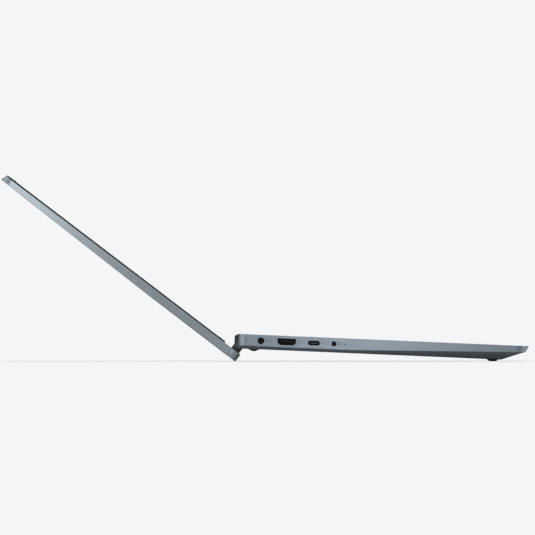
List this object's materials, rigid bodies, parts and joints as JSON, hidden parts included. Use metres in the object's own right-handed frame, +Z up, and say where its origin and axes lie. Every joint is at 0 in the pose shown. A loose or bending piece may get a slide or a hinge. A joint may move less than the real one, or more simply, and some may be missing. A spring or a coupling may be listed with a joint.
{
  "type": "laptop computer",
  "caption": "Slim laptop computer with a drop-hinge lid open to its stop, full-width keyboard with number pad, click touchpad and sockets along both sides.",
  "frame": {"origin": "centre of the footprint of the standing, opened laptop, on the surface it stands on", "axes": "+X to the right of the person using it, +Y to the rear, +Z up"},
  "size_m": [0.357, 0.4168, 0.1471],
  "materials": {
    "case_metal": "satin anodised, fine grain",
    "lid_metal": "satin anodised, fine grain",
    "cover_plastic": "fine moulded texture",
    "hinge_plastic": "satin moulded",
    "bezel_plastic": "matt black, fine texture",
    "screen_face": "anti-glare film",
    "key_plastic": "soft-touch keycap",
    "web_plastic": "satin",
    "touchpad_face": "smooth satin",
    "foot_rubber": "matt",
    "hinge_steel": "machined",
    "screw_steel": "blackened",
    "plate_steel": "rolled sheet",
    "socket_shell": "moulded",
    "board_laminate": "solder resist",
    "chip_plastic": "moulded",
    "copper": "drawn copper",
    "heatsink_metal": "bare",
    "cell_wrap": "black film over foil pouches",
    "fan_plastic": "moulded",
    "film": "clear film with printed tracks",
    "light_lens": "frosted",
    "magnet_plating": "nickel plated"
  },
  "bodies": {
    "base": {"top_case": "case_metal", "bottom_cover": "cover_plastic", "cover_screws": "screw_steel", "front_feet": "foot_rubber", "rear_foot": "foot_rubber", "keyboard_frame": "web_plastic", "keyboard_plate": "plate_steel", "keyboard_membrane": "film", "touchpad_bracket": "plate_steel", "mainboard": "board_laminate", "processor": "chip_plastic", "heat_pipe": "copper", "heatsink": "heatsink_metal", "fan_housing": "fan_plastic", "battery_pack": "cell_wrap", "storage_module": "board_laminate", "memory_module": "board_laminate", "wireless_card": "board_laminate", "left_speaker": "socket_shell", "right_speaker": "socket_shell", "power_jack": "socket_shell", "video_socket": "socket_shell", "type_c_socket": "socket_shell", "audio_jack": "socket_shell", "charge_light": "light_lens", "status_light": "light_lens", "rear_type_a_socket": "socket_shell", "front_type_a_socket": "socket_shell", "card_reader": "socket_shell", "io_board": "board_laminate", "io_ribbon": "film", "left_hinge_bracket": "hinge_steel", "right_hinge_bracket": "hinge_steel", "bracket_screws": "screw_steel"},
    "lid": {"lid_cover": "lid_metal", "screen_bezel": "bezel_plastic", "display_panel": "screen_face", "hinge_cover": "hinge_plastic", "left_hinge_arm": "hinge_steel", "right_hinge_arm": "hinge_steel", "arm_screws": "screw_steel", "hinge_nuts": "hinge_steel", "webcam_module": "socket_shell", "display_cable": "film", "lid_bumpers": "foot_rubber", "lid_magnets": "magnet_plating"},
    "fan": {"fan_rotor": "fan_plastic"},
    "function_keys": {"function_keys": "key_plastic"},
    "number_keys": {"number_keys": "key_plastic"},
    "upper_keys": {"upper_keys": "key_plastic"},
    "home_keys": {"home_keys": "key_plastic"},
    "lower_keys": {"lower_keys": "key_plastic"},
    "bottom_keys": {"bottom_keys": "key_plastic"},
    "space_bar": {"space_bar": "key_plastic"},
    "power_button": {"power_button": "key_plastic"},
    "touchpad": {"touchpad": "touchpad_face"},
    "shutter": {"webcam_shutter": "bezel_plastic"}
  },
  "joints": [
    {"name": "lid_hinge", "type": "hinge", "parent": "base", "child": "lid", "pos_m": [0, 0.01877, 0.01492], "axis": [-1, 0, 0], "range_deg": [-145.1, 0]},
    {"name": "fan_spin", "type": "hinge", "parent": "base", "child": "fan", "pos_m": [0.052, -0.02818, 0.01293], "axis": [0, -0.0425, 0.9991], "continuous": true},
    {"name": "function_keys_press", "type": "slide", "parent": "base", "child": "function_keys", "axis": [0, 0.0425, -0.9991], "range_m": [0, 0.0014], "stiffness_N_per_m": 1500, "springref_m": -0.0004},
    {"name": "number_keys_press", "type": "slide", "parent": "base", "child": "number_keys", "axis": [0, 0.0425, -0.9991], "range_m": [0, 0.0014], "stiffness_N_per_m": 1500, "springref_m": -0.0004},
    {"name": "upper_keys_press", "type": "slide", "parent": "base", "child": "upper_keys", "axis": [0, 0.0425, -0.9991], "range_m": [0, 0.0014], "stiffness_N_per_m": 1500, "springref_m": -0.0004},
    {"name": "home_keys_press", "type": "slide", "parent": "base", "child": "home_keys", "axis": [0, 0.0425, -0.9991], "range_m": [0, 0.0014], "stiffness_N_per_m": 1500, "springref_m": -0.0004},
    {"name": "lower_keys_press", "type": "slide", "parent": "base", "child": "lower_keys", "axis": [0, 0.0425, -0.9991], "range_m": [0, 0.0014], "stiffness_N_per_m": 1500, "springref_m": -0.0004},
    {"name": "bottom_keys_press", "type": "slide", "parent": "base", "child": "bottom_keys", "axis": [0, 0.0425, -0.9991], "range_m": [0, 0.0014], "stiffness_N_per_m": 1500, "springref_m": -0.0004},
    {"name": "space_bar_press", "type": "slide", "parent": "base", "child": "space_bar", "axis": [0, 0.0425, -0.9991], "range_m": [0, 0.0014], "stiffness_N_per_m": 500, "springref_m": -0.0004},
    {"name": "power_button_press", "type": "slide", "parent": "base", "child": "power_button", "axis": [0, 0.0425, -0.9991], "range_m": [0, 0.0008], "stiffness_N_per_m": 1200, "springref_m": -0.0004},
    {"name": "touchpad_click", "type": "hinge", "parent": "base", "child": "touchpad", "pos_m": [-0.032, -0.11692, 0.01426], "axis": [1, 0, 0], "range_deg": [0, 0.45], "stiffness_Nm_per_rad": 5.5, "springref_deg": -0.17},
    {"name": "shutter_slide", "type": "slide", "parent": "lid", "child": "shutter", "axis": [-1, 0, 0], "range_m": [0, 0.0055]}
  ]
}
